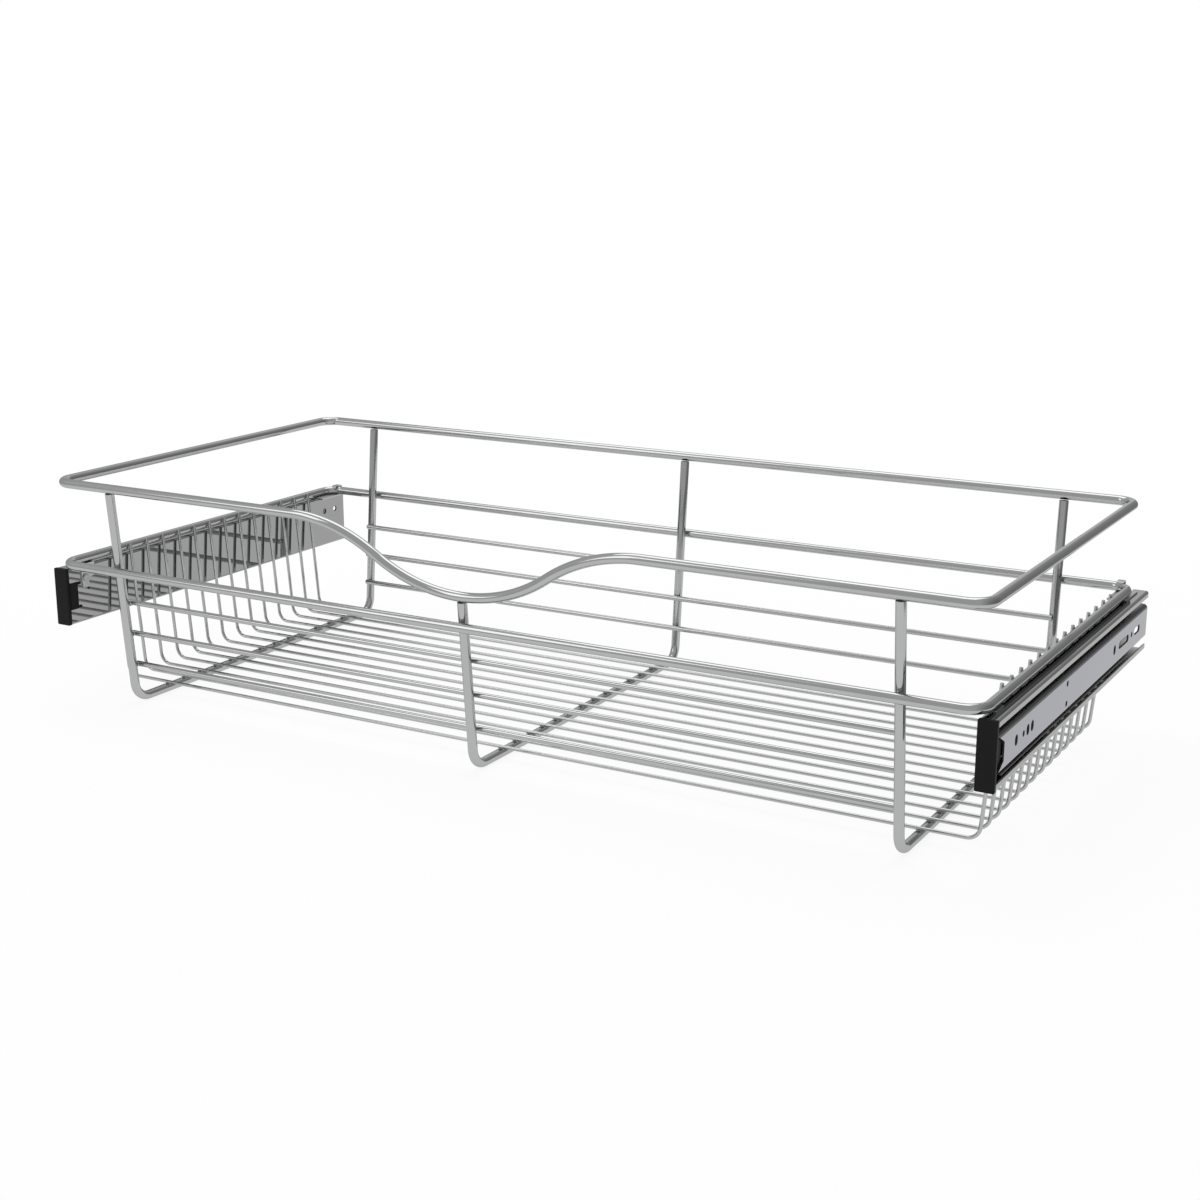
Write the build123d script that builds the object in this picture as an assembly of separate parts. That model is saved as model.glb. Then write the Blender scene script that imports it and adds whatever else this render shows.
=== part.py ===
from build123d import *
import math
import os

# Pull-out wire basket on a pair of full-extension ball-bearing slides.
# Millimetres, +Z up, front towards -Y, origin under the middle of the whole object.

# Overall sizes
opening_width = 762.0          # over the outer faces of the two slides
basket_height = 178.0          # underside of the support wires to the top of the rim
rim_depth = 338.5              # front to back between the axes of the rim wires
side_taper = 5.1               # degrees that every wall leans in towards the floor

# Wires
rim_wire = 7.2                 # diameter of the top rim
frame_wire = 7.0               # diameter of the lower frame and the support wires
wall_wire = 4.2                # diameter of the front and back wall wires
floor_wire = 2.6               # diameter of the lateral wires
weld_gap = 0.03                # clearance that stands for a welded line of contact
rim_corner = 14.0              # bend radius of both rims at the corners, to the axis
frame_below_rim = 64.8         # from the top rim's axis down to the lower frame's axis

# Hand grip, a dip in the front of the top rim that leans in as the walls do
grip_depth = 44.0
grip_angle = 33.2              # slope of its sides in degrees
grip_floor_radius = 123.0
grip_shoulder_radius = 127.0

# Support wires, which run front to back under the floor
support_inset = 53.6           # the outer ones inside the axis of the rims
support_bend = 14.0

# Lateral wires, which run side to side and make the floor
lateral_pitch = 19.05
lateral_bend = 9.0
lateral_tip = 3.4              # how far the tips stand above the axis of the lower frame
lateral_setback = 5.7          # middle of the row behind the middle of the rims
lateral_margin = 4.0           # at least this much flat run outside the last wire

# Wall wires
wall_pitch = 25.4
wall_first = 27.0              # from the lower frame's axis down to the first wall wire
wall_clear = 14.0              # at least this much between the last one and the floor wires
wall_overhang = 0.6            # past the axis of the outer support wires

# Slides
slide_thickness = 12.7
slide_height = 45.6
slide_overrun = 11.5           # how much longer the slides are than the rims are deep
slide_setback = 7.0            # slide behind the front face of the rims
rim_over_plate = 2.7           # axis of the rims outside the inner face of the slide
sheet = 1.2                    # wall of the basket rail and the cabinet rail
middle_sheet = 1.0             # wall of the middle rail
cage_sheet = 0.4
slide_gap = 0.15               # running clearance of an outer ball
inner_gap = 0.31               # running clearance of an inner ball
lip_setback = 0.3              # of the basket rail's lip behind the cabinet face
ball = 4.0                     # diameter
lip_height = 4.8               # of the basket rail, from its top down its outer edge
rail_bend = 2.0                # outer bend radius of the basket rail
cut_past = 1.0                 # how far a cutter stands out of the sheet on each side

# Middle rail
middle_front = 16.0            # its front end behind the slide's front
middle_rear = 44.0             # its rear end ahead of the slide's rear
groove_inner = 60.0            # degrees that its ball groove turns up towards the basket
groove_outer = 30.0            # and towards the cabinet

# Cabinet rail
cabinet_bend = 3.2
cabinet_front = 1.5            # front horns behind the slide's front
cabinet_rear = 1.3             # rear end ahead of the slide's rear
notch_floor = 12.0             # foot of the web's front notch behind the slide's front
notch_floor_half = 6.0
flange_edge = 1.1              # edge of its flanges past the middle of the inner balls

# Ball cages
ball_pitch = 16.0
cage_margin = 9.0              # from the last ball to the end of a cage
cage_bend = 0.6
cage_gap = 0.3                 # from a cage to the rail beside it
cage_rim = 0.8                 # of an inner cage past its balls
cage_stop = 1.5                # left to the end of a rail at full travel
pocket_gap = 0.12

# Screw holes of the cabinet rail, some from the slide's front and some from its rear
front_screws = (35.4, 58.5, 67.4)
rear_screw = 90.6
screw_width = 4.8
screw_height = 6.4
front_pilot = 49.8
rear_pilot = 44.2
pilot_hole = 3.4
dimple_row = 142.3
dimple_spread = 6.9
dimple_hole = 3.4
long_slot = (79.0, 53.0)
rear_slot = (36.7, 21.9)
slot_height = 4.8

# Holes of the basket rail, ahead of the slide's rear
rail_holes = (28.5, 13.2)
rail_hole_height = 9.1         # above the rail's middle
rail_hole = 4.2
clip_hole = 2.2                # at the rear corner of the foot of the front clip's leg
clip_hole_shift = 0.5
clip_hole_drop = 1.3

# End cap
cap_thickness = 3.0
cap_corner = 1.0
plug_length = 10.5
plug_half = 10.4
plug_gap = 0.5                 # from the plug to the cabinet rail's web
notch_length = 8.5
notch_gap = 0.4                # round the plug in the rail's front notch
cap_lug = 0.8                  # lug that stands out of the rail's inner face
lug_bar = 6.8
lug_arm = 11.3                 # reach of the lug's arms behind the slide's front
lug_arm_height = 2.0

# Brackets that seat the lower frame on the slides
bracket_sheet = 1.05
ledge_ahead = 26.0             # rear ledge ahead of the lower frame's back run
ledge_behind = 8.8
ledge_inner = 8.0              # reach inside the slide's inner face
ledge_outer = 0.3              # reach past the outside of the lower frame
hook_width = 5.0
hook_edge = 2.3                # outer edge of the hook inside the slide's inner face
hook_gap = 0.1
hook_behind = 3.1              # rear leg of the hook behind the wire
hook_slope = 3.4               # front leg's lean, foot to shoulder
hook_rear_slope = 1.3
hook_bend = 2.6
front_ledge = (12.5, 26.6)     # behind the slide's front
clip_leg = (13.6, 19.6)
clip_drop = 18.2               # from the top of the slide to the foot of the leg
clip_flare = 9.8               # height of its wide top
clip_shoulder = 1.0
screw_drop = 9.9
screw_head = 5.8
screw_head_height = 1.4
screw_head_round = 0.8
screw_shank = 2.6
screw_gap = 0.1

# Worked out from the sizes above
rim_z = basket_height - rim_wire / 2
frame_z = rim_z - frame_below_rim
lean = math.tan(math.radians(side_taper))
plate_x = opening_width / 2 - slide_thickness
rim_x = plate_x + rim_over_plate
support_x = rim_x - support_inset
front_face = -rim_depth / 2 - frame_wire / 2
slide_length = rim_depth + slide_overrun
slide_front = front_face + slide_setback
slide_rear = slide_front + slide_length
shift_y = -(front_face + slide_rear) / 2
slide_top = frame_z - frame_wire / 2 - bracket_sheet
slide_z = slide_top - slide_height / 2
support_z = frame_wire / 2
lateral_z = frame_wire + floor_wire / 2 + weld_gap
lip_reach = slide_thickness - lip_setback
middle_web = sheet + 2 * cage_gap + cage_sheet
outer_ball_z = slide_height / 2 - sheet - slide_gap - ball / 2
outer_ball_reach = lip_reach - sheet - slide_gap - ball / 2
groove = ball / 2 + slide_gap + middle_sheet / 2
middle_flat = outer_ball_z - groove * math.cos(math.radians(groove_inner))
inner_ball_z = middle_flat - middle_sheet / 2 - inner_gap - ball / 2
inner_ball_reach = middle_web + middle_sheet + inner_gap + ball / 2
cabinet_half = inner_ball_z - ball / 2 - inner_gap
# Half of the travel that a cage makes along each of its rails, with full extension
cage_run = slide_length / 4
outer_cage_start = middle_front + cage_run + cage_stop
inner_cage_start = notch_length + cage_run - cage_stop


def support_y(z):
    """Distance of a support wire's upright from the middle of the rims, at height z."""
    return rim_depth / 2 - frame_wire - weld_gap + (z - frame_z) * lean


def round_wire(path, diameter):
    """A round wire along a path."""
    section = Plane(origin=path @ 0, z_dir=path % 0) * Circle(diameter / 2)
    return sweep(section, path=path)


def rim_corners(z):
    """The four corners of a rim, from the back right one round by the back left."""
    x, y = rim_x, rim_depth / 2
    return [(x, y, z), (-x, y, z), (-x, -y, z), (x, -y, z)]


def make_top_rim():
    """Closed rim with the hand grip, a dip of one floor arc and two shoulder arcs."""
    angle = math.radians(grip_angle)
    vertex_drop = grip_depth + grip_floor_radius * (1 / math.cos(angle) - 1)
    vertex_x = vertex_drop / math.tan(angle)
    y = -rim_depth / 2
    right_back, left_back, left_front, right_front = rim_corners(rim_z)
    points = [right_back, left_back, left_front, (-vertex_x, y, rim_z),
              (0, y + vertex_drop * lean, rim_z - vertex_drop), (vertex_x, y, rim_z),
              right_front]
    radii = [rim_corner, rim_corner, rim_corner, grip_shoulder_radius,
             grip_floor_radius, grip_shoulder_radius, rim_corner]
    return round_wire(FilletPolyline(*points, radius=radii, close=True), rim_wire)


def make_lower_frame():
    """Closed frame of the same plan as the rim, outside the support wires."""
    path = FilletPolyline(*rim_corners(frame_z), radius=rim_corner, close=True)
    return round_wire(path, frame_wire)


def upright_end(rim_axis_z):
    """Height at which a support wire's upright ends under a rim wire."""
    end = rim_axis_z - rim_wire / 2
    offset = rim_depth / 2 - (rim_z - rim_axis_z) * lean - support_y(end)
    outer_edge = max(0.0, offset - frame_wire / 2)
    seat = rim_axis_z - math.sqrt((rim_wire / 2) ** 2 - outer_edge ** 2)
    return seat - frame_wire / 2 * math.sin(math.radians(side_taper)) - weld_gap


def make_support_wire(x, front_end):
    """A support wire, from its front end down under the floor and up to the back rim."""
    back_end = upright_end(rim_z)
    points = [(x, -support_y(front_end), front_end), (x, -support_y(support_z), support_z),
              (x, support_y(support_z), support_z), (x, support_y(back_end), back_end)]
    return round_wire(FilletPolyline(*points, radius=support_bend), frame_wire)


def make_lateral_wire(y):
    """A floor wire, with both ends turned up inside the lower frame."""
    tip_z = frame_z + lateral_tip
    at_frame = rim_x - frame_wire / 2 - floor_wire / 2 - weld_gap
    tip_x = at_frame + lateral_tip * lean
    floor_x = at_frame - (frame_z - lateral_z) * lean
    points = [(-tip_x, y, tip_z), (-floor_x, y, lateral_z), (floor_x, y, lateral_z),
              (tip_x, y, tip_z)]
    return round_wire(FilletPolyline(*points, radius=lateral_bend), floor_wire)


def make_wall_wire(z, side):
    """A wall wire on the inner side of the uprights, side -1 for front and 1 for back."""
    inside = (frame_wire + wall_wire) / 2 / math.cos(math.radians(side_taper)) + weld_gap
    y = side * (support_y(z) - inside)
    half = support_x + wall_overhang
    return round_wire(Line((-half, y, z), (half, y, z)), wall_wire)


def along_y(sketch, front, rear):
    """A profile drawn as (x, z), drawn out from front to rear, both behind the slide's front."""
    plane = Plane.XZ.offset(-(slide_front + rear))
    return extrude(plane * sketch, amount=rear - front)


def bent_sheet(points, radii, thickness):
    """The section of a bent sheet about its middle line, given as (reach, height) points."""
    placed = [(plate_x + reach, slide_z + height) for reach, height in points]
    return trace(FilletPolyline(*placed, radius=radii), line_width=thickness)


def cut_x(shape, row, height, reach):
    """A cutter along X through the sheet between two reaches, its shape drawn as (y, z)."""
    plane = Plane(origin=(plate_x + reach[0] - cut_past, slide_front + row, slide_z + height),
                  x_dir=(0, 1, 0), z_dir=(1, 0, 0))
    return extrude(plane * shape, amount=reach[1] - reach[0] + 2 * cut_past)


def side_box(reach, row, height):
    """A box from pairs of lowest and highest reach, row behind the front, and height."""
    size = (reach[1] - reach[0], row[1] - row[0], height[1] - height[0])
    middle = (plate_x + sum(reach) / 2, slide_front + sum(row) / 2, slide_z + sum(height) / 2)
    return Pos(*middle) * Box(*size)


def screw_bore():
    """Clearance bore of the front clip's screw, through the clip and the rail's web."""
    bore = Circle(screw_shank / 2 + screw_gap)
    return cut_x(bore, sum(clip_leg) / 2, slide_height / 2 - screw_drop, (-bracket_sheet, sheet))


def make_basket_rail():
    """The large C-section rail on the basket, open towards the cabinet."""
    middle_line = sheet / 2
    top = slide_height / 2 - middle_line
    outer = lip_reach - middle_line
    lip = slide_height / 2 - lip_height
    section = bent_sheet([(outer, lip), (outer, top), (middle_line, top), (middle_line, -top),
                          (outer, -top), (outer, -lip)], rail_bend - middle_line, sheet)
    rail = along_y(section, 0, slide_length)
    web = (0, sheet)
    rail -= cut_x(Rectangle(2 * notch_length, 2 * (plug_half + notch_gap)), 0, 0, web)
    for ahead in rail_holes:
        rail -= cut_x(Circle(rail_hole / 2), slide_length - ahead, rail_hole_height, web)
    rail -= cut_x(Circle(clip_hole / 2), clip_leg[1] + clip_hole_shift,
                  slide_height / 2 - clip_drop - clip_hole_drop, web)
    return rail - screw_bore()


def make_end_cap():
    """Moulded cap on the rail's front end, with a plug between the flanges."""
    face = Pos(plate_x + slide_thickness / 2, slide_z) * RectangleRounded(
        slide_thickness, slide_height, cap_corner)
    cap = along_y(face, -cap_thickness, 0)
    plug_reach = slide_thickness - sheet - plug_gap
    cap += side_box((sheet + slide_gap, plug_reach), (0, plug_length), (-plug_half, plug_half))
    cap += side_box((-cap_lug, plug_reach), (0, lug_bar), (-plug_half, plug_half))
    for end in (-1, 1):
        arm = sorted((end * (plug_half - lug_arm_height), end * plug_half))
        cap += side_box((-cap_lug, 0), (0, lug_arm), arm)
    return cap


def make_middle_rail():
    """The rail between the two others, with a rolled groove along each edge."""
    inner, outer = math.radians(groove_inner), math.radians(groove_outer)
    web = plate_x + middle_web + middle_sheet / 2
    flat_z = slide_z + middle_flat
    ball_x, ball_z = plate_x + outer_ball_reach, slide_z + outer_ball_z
    edge = (ball_x - groove * math.sin(inner), flat_z)
    floor = (ball_x, ball_z - groove)
    tip = (ball_x + groove * math.sin(outer), ball_z - groove * math.cos(outer))
    upper = trace(FilletPolyline((web, slide_z), (web, flat_z), edge, radius=rail_bend),
                  line_width=middle_sheet)
    upper += trace(ThreePointArc(edge, floor, tip), line_width=middle_sheet)
    section = upper + mirror(upper, about=Plane.XZ.offset(-slide_z))
    return along_y(section, middle_front, slide_length - middle_rear)


def make_cabinet_rail():
    """The rail that is screwed to the cabinet, web outwards, with notched front."""
    middle_line = slide_thickness - sheet / 2
    top = cabinet_half - sheet / 2
    edge = inner_ball_reach - flange_edge
    section = bent_sheet([(edge, top), (middle_line, top), (middle_line, -top), (edge, -top)],
                         cabinet_bend - sheet / 2, sheet)
    rail = along_y(section, cabinet_front, slide_length - cabinet_rear)
    web = (slide_thickness - sheet, slide_thickness)
    notch_half = cabinet_half - sheet
    notch = make_face(Polyline((-notch_half, notch_half), (cabinet_front, notch_half),
                               (notch_floor, notch_floor_half), (notch_floor, -notch_floor_half),
                               (cabinet_front, -notch_half), (-notch_half, -notch_half),
                               close=True))
    rail -= cut_x(notch, 0, 0, (edge, slide_thickness))
    oval = Rot(0, 0, 90) * SlotOverall(screw_height, screw_width)
    for row in front_screws + (slide_length - rear_screw,):
        rail -= cut_x(oval, row, 0, web)
    for row in (front_pilot, slide_length - rear_pilot):
        rail -= cut_x(Circle(pilot_hole / 2), row, 0, web)
    for end in (-1, 1):
        rail -= cut_x(Circle(dimple_hole / 2), dimple_row, end * dimple_spread, web)
    for start, finish in (long_slot, rear_slot):
        slot = SlotOverall(start - finish, slot_height)
        rail -= cut_x(slot, slide_length - (start + finish) / 2, 0, web)
    return rail


def balls_between(start, finish):
    """How many balls a cage of one pitch holds between two rows."""
    return int((finish - start - 2 * cage_margin) / ball_pitch) + 1


def ball_row(start, count):
    """Rows behind the slide's front at which the balls of a cage sit."""
    return [start + cage_margin + i * ball_pitch for i in range(count)]


def make_balls(start, count, reach, height):
    """Two rows of balls, one above and one below, as separate solids."""
    return [Pos(plate_x + reach, slide_front + row, slide_z + end * height) * Sphere(ball / 2)
            for end in (-1, 1) for row in ball_row(start, count)]


def make_cage(start, count, web, reach, height, edge):
    """A sheet channel with a pocket round each ball."""
    line = web + cage_sheet / 2
    section = bent_sheet([(edge, height), (line, height), (line, -height), (edge, -height)],
                         cage_bend, cage_sheet)
    length = 2 * cage_margin + (count - 1) * ball_pitch
    cage = along_y(section, start, start + length)
    for row in ball_row(start, count):
        for end in (-1, 1):
            centre = (plate_x + reach, slide_front + row, slide_z + end * height)
            cage -= Pos(*centre) * Cylinder(ball / 2 + pocket_gap, ball)
    return cage


def frame_inner_edge(x):
    """How far back the inner side of the lower frame's back right corner lies at x."""
    centre_x, centre_y = rim_x - rim_corner, rim_depth / 2 - rim_corner
    across = max(0.0, x - centre_x)
    return centre_y + math.sqrt((rim_corner - frame_wire / 2) ** 2 - across ** 2)


def make_rear_bracket():
    """Ledge under the lower frame with a hook over its back run."""
    back_run = rim_depth / 2 - slide_front
    bracket = side_box((-ledge_inner, rim_over_plate + frame_wire / 2 + ledge_outer),
                       (back_run - ledge_ahead, back_run + ledge_behind),
                       (slide_height / 2, slide_height / 2 + bracket_sheet))
    foot = slide_top + bracket_sheet / 2
    crown = frame_z + frame_wire / 2 + hook_gap + bracket_sheet / 2
    lean_at_wire = hook_slope * (frame_z - foot) / (crown - foot)
    front = frame_inner_edge(plate_x - hook_edge) - bracket_sheet - lean_at_wire
    rear = rim_depth / 2 + frame_wire / 2 + hook_behind
    strap = FilletPolyline((front, foot), (front + hook_slope, crown), (rear, crown),
                           (rear + hook_rear_slope, foot), radius=hook_bend)
    plane = Plane(origin=(plate_x - hook_edge - hook_width, 0, 0), x_dir=(0, 1, 0),
                  z_dir=(1, 0, 0))
    return bracket + extrude(plane * trace(strap, line_width=bracket_sheet), amount=hook_width)


def make_front_clip():
    """Ledge under the lower frame at the front, with a leg down the rail's inner face."""
    top = slide_height / 2
    clip = side_box((-bracket_sheet, rim_over_plate + frame_wire / 2 + ledge_outer),
                    front_ledge, (top, top + bracket_sheet))
    start, end = clip_leg
    outline = [(front_ledge[0], top), (front_ledge[1], top),
               (front_ledge[1], top - clip_flare),
               (end + clip_shoulder, top - clip_flare - clip_shoulder),
               (end, top - clip_drop), (start, top - clip_drop),
               (front_ledge[0], top - clip_flare)]
    placed = [(slide_front + row, slide_z + height) for row, height in outline]
    plane = Plane(origin=(plate_x - bracket_sheet, 0, 0), x_dir=(0, 1, 0), z_dir=(1, 0, 0))
    clip += extrude(plane * make_face(Polyline(*placed, close=True)), amount=bracket_sheet)
    return clip - screw_bore()


def make_clip_screw():
    """Pan-head screw through the clip and the rail's web."""
    centre = (plate_x - bracket_sheet, slide_front + sum(clip_leg) / 2, slide_top - screw_drop)
    plane = Plane(origin=centre, z_dir=(-1, 0, 0))
    head = extrude(plane * Circle(screw_head / 2), amount=screw_head_height)
    head = fillet(head.edges().group_by(Axis.X)[0], screw_head_round)
    shank = extrude(plane * Circle(screw_shank / 2), amount=-(bracket_sheet + sheet))
    return head + shank


def make_slide_parts():
    """Every piece of the right-hand slide, by name."""
    outer_count = balls_between(outer_cage_start, slide_length - cage_run - cage_stop)
    inner_count = balls_between(inner_cage_start, slide_length - middle_rear - cage_run)
    outer_row = (outer_cage_start, outer_count)
    inner_row = (inner_cage_start, inner_count)
    return {
        "basket_rail": make_basket_rail(),
        "end_cap": make_end_cap(),
        "middle_rail": make_middle_rail(),
        "cabinet_rail": make_cabinet_rail(),
        "outer_ball_cage": make_cage(*outer_row, sheet + cage_gap, outer_ball_reach,
                                     outer_ball_z, lip_reach - sheet - cage_gap),
        "outer_balls": make_balls(*outer_row, outer_ball_reach, outer_ball_z),
        "inner_ball_cage": make_cage(*inner_row, middle_web + middle_sheet + cage_gap,
                                     inner_ball_reach, inner_ball_z,
                                     inner_ball_reach + ball / 2 + cage_rim),
        "inner_balls": make_balls(*inner_row, inner_ball_reach, inner_ball_z),
        "rear_bracket": make_rear_bracket(),
        "front_clip": make_front_clip(),
        "clip_screw": make_clip_screw(),
    }


def write(name, shape):
    """Move a piece to the shared origin and write it to its own file."""
    solids = shape if isinstance(shape, list) else shape.solids()
    placed = [Pos(0, shift_y, 0) * solid for solid in solids]
    export_step(placed[0] if len(placed) == 1 else Compound(children=placed),
                "parts/" + name + ".step")
    print(name, len(placed), "solids", round(sum(solid.volume for solid in placed), 1), "mm3")


os.makedirs("parts", exist_ok=True)

write("top_rim_wire", make_top_rim())
write("lower_frame_wire", make_lower_frame())
write("left_support_wire", make_support_wire(-support_x, upright_end(rim_z)))
write("middle_support_wire", make_support_wire(0, upright_end(rim_z - grip_depth)))
write("right_support_wire", make_support_wire(support_x, upright_end(rim_z)))

flat_run = 2 * (support_y(support_z) - support_bend - lateral_setback - lateral_margin)
lateral_count = int(flat_run / lateral_pitch) + 1
for index in range(lateral_count):
    lateral_y = lateral_setback + (index - (lateral_count - 1) / 2) * lateral_pitch
    write("lateral_wire_%02d" % (index + 1), make_lateral_wire(lateral_y))

wall_count = int((frame_z - wall_first - wall_clear - lateral_z) / wall_pitch) + 1
for index in range(wall_count):
    wall_z = frame_z - wall_first - index * wall_pitch
    write("front_wall_wire_%d" % (index + 1), make_wall_wire(wall_z, -1))
    write("back_wall_wire_%d" % (index + 1), make_wall_wire(wall_z, 1))

for piece, shape in make_slide_parts().items():
    solids = shape if isinstance(shape, list) else shape.solids()
    write("right_" + piece, solids)
    write("left_" + piece, [mirror(solid, about=Plane.YZ) for solid in solids])
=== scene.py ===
# %% [markdown]
# A pull-out wire basket on ball-bearing slides. The real one is drawn steel wire, bent and
# welded, then plated bright, and it rides on two zinc plated slides that are screwed into a
# cabinet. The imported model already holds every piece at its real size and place. This script
# gives the pieces their looks: smooth round wire, weld nuggets, softened sheet edges and
# plated finishes. Everything is in metres, with the front towards -Y.

# %% Load the frame
import math

import bmesh
import bpy
from mathutils import Matrix, Vector


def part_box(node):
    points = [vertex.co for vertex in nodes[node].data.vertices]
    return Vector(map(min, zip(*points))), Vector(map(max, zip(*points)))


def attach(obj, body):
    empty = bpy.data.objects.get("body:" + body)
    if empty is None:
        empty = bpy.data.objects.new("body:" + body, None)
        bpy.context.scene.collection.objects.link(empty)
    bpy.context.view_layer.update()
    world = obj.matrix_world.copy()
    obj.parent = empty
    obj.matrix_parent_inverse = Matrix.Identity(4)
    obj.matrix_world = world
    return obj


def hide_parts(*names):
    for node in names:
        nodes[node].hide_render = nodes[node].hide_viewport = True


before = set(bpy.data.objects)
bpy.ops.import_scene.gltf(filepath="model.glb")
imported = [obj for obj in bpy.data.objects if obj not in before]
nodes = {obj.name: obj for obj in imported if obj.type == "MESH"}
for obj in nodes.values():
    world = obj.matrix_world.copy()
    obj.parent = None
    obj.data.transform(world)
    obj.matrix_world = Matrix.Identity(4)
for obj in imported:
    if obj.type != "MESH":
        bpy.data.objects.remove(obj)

MM = 0.001
scene = bpy.context.scene
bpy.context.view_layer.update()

# %% [markdown]
# The camera comes first, because every finish is judged through it. A long lens from the
# front right, a little above the rim, keeps the wires' perspective gentle.

# %% Camera
CAMERA_PLACE = (0.6969, -1.19645, 0.4548)
CAMERA_TILT = math.radians(75.202)     # a right angle would be level
CAMERA_TURN = math.radians(29.801)     # from straight in front, round to the right
LENS, FILM_WIDTH = 56.15, 36           # both in millimetres
NEAREST, FARTHEST = 0.05, 30

camera_data = bpy.data.cameras.new("product_camera")
camera_data.lens = LENS
camera_data.sensor_width = FILM_WIDTH
camera_data.clip_start = NEAREST
camera_data.clip_end = FARTHEST
camera = bpy.data.objects.new("product_camera", camera_data)
camera.location = CAMERA_PLACE
camera.rotation_euler = (CAMERA_TILT, 0, CAMERA_TURN)
scene.collection.objects.link(camera)
scene.camera = camera
scene.view_settings.view_transform = "Standard"
print("camera at", CAMERA_PLACE)

# %% [markdown]
# Bright plating has hardly a colour of its own: it shows the room. So the room is dressed as
# a product photographer does it, with a white table, a white surround for the camera, two
# soft boxes, and grey card all round that only mirror reflections see, with two lighter cards
# in front of it. The card gives the wires their dark bands, and the soft boxes draw the
# bright lines along them.

# %% World and table
TABLE_RADIUS = 0.92
TABLE_SEGMENTS = 96
TABLE_LEFT = 0.12              # of the basket's middle
TABLE_DROP = 0.2 * MM          # below the feet, so that the two don't flicker
TABLE_WHITE = (0.98, 0.98, 0.98, 1)
TABLE_ROUGHNESS = 0.9
TABLE_SHEEN = 0.1              # specular level of its matt paper
TABLE_GLOW = 0.88              # how far the table is plain white to camera and mirrors
FILL_LEVEL = 0.71              # the surround's part in the light; the soft boxes give the rest
SEEN_KINDS = ["Is Camera Ray", "Is Glossy Ray", "Is Transmission Ray"]


def seen_directly(tree, kinds):
    """The highest of Light Path's answers: 1 for a ray of one of the kinds, else 0."""
    path = tree.nodes.new("ShaderNodeLightPath")
    highest = path.outputs[kinds[0]]
    for kind in kinds[1:]:
        either = tree.nodes.new("ShaderNodeMath")
        either.operation = "MAXIMUM"
        tree.links.new(highest, either.inputs[0])
        tree.links.new(path.outputs[kind], either.inputs[1])
        highest = either.outputs["Value"]
    return highest


def spread_range(tree, value, low, high, before=(0, 1)):
    """A Map Range from before to low and high."""
    spread = tree.nodes.new("ShaderNodeMapRange")
    spread.inputs["From Min"].default_value, spread.inputs["From Max"].default_value = before
    spread.inputs["To Min"].default_value = low
    spread.inputs["To Max"].default_value = high
    tree.links.new(value, spread.inputs["Value"])
    return spread.outputs["Result"]


world = bpy.data.worlds.new("white_surround")
world.use_nodes = True
background = world.node_tree.nodes["Background"]
background.inputs["Color"].default_value = (1, 1, 1, 1)
surround = spread_range(world.node_tree, seen_directly(world.node_tree, SEEN_KINDS),
                        FILL_LEVEL, 1)
world.node_tree.links.new(surround, background.inputs["Strength"])
scene.world = world


def stage_piece(mesh, name, material):
    """Turns a bmesh into an object that belongs to the studio and not to the basket."""
    data = bpy.data.meshes.new(name)
    mesh.to_mesh(data)
    mesh.free()
    data.materials.append(material)
    piece = bpy.data.objects.new(name, data)
    scene.collection.objects.link(piece)
    return piece


def new_material(name):
    """A material with its node list, its links and its main shader."""
    material = bpy.data.materials.new(name)
    material.use_nodes = True
    tree = material.node_tree
    return material, tree.nodes, tree.links, tree.nodes["Principled BSDF"]


table_white, table_nodes, table_links, shader = new_material("table_white")
shader.inputs["Base Color"].default_value = TABLE_WHITE
shader.inputs["Roughness"].default_value = TABLE_ROUGHNESS
shader.inputs["Specular IOR Level"].default_value = TABLE_SHEEN
plain = table_nodes.new("ShaderNodeEmission")
lit_or_plain = table_nodes.new("ShaderNodeMixShader")
table_tree = table_white.node_tree
table_links.new(spread_range(table_tree, seen_directly(table_tree, SEEN_KINDS), 0, TABLE_GLOW),
                lit_or_plain.inputs["Fac"])
table_links.new(shader.outputs["BSDF"], lit_or_plain.inputs[1])
table_links.new(plain.outputs["Emission"], lit_or_plain.inputs[2])
table_links.new(lit_or_plain.outputs["Shader"],
                table_nodes["Material Output"].inputs["Surface"])
table_white.cycles.emission_sampling = "NONE"

mesh = bmesh.new()
bmesh.ops.create_circle(mesh, segments=TABLE_SEGMENTS, radius=TABLE_RADIUS, cap_ends=True,
                        matrix=Matrix.Translation((-TABLE_LEFT, 0, -TABLE_DROP)))
stage_piece(mesh, "table", table_white)
print("table", TABLE_RADIUS, "m in radius")

# %% Grey card tent
TENT_RADIUS = 8.0
TENT_SEGMENTS, TENT_RINGS = 64, 40
CARD_GREY = 0.62               # brightness of the card all round
CARD_DARK = 0.23               # and of its darkest place, behind the basket to the right
DARK_AZIMUTH = math.radians(57)
DARK_SIDE = (math.sin(DARK_AZIMUTH), math.cos(DARK_AZIMUTH), 0)
DARK_FROM = 0.3 * TENT_RADIUS  # towards the dark side from the middle


def glowing_card(name):
    """A material that only glows, with its Emission node."""
    material, card_nodes, card_links, _ = new_material(name)
    card_nodes.clear()
    output = card_nodes.new("ShaderNodeOutputMaterial")
    glow = card_nodes.new("ShaderNodeEmission")
    card_links.new(glow.outputs["Emission"], output.inputs["Surface"])
    material.cycles.emission_sampling = "NONE"
    return material, glow


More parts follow.
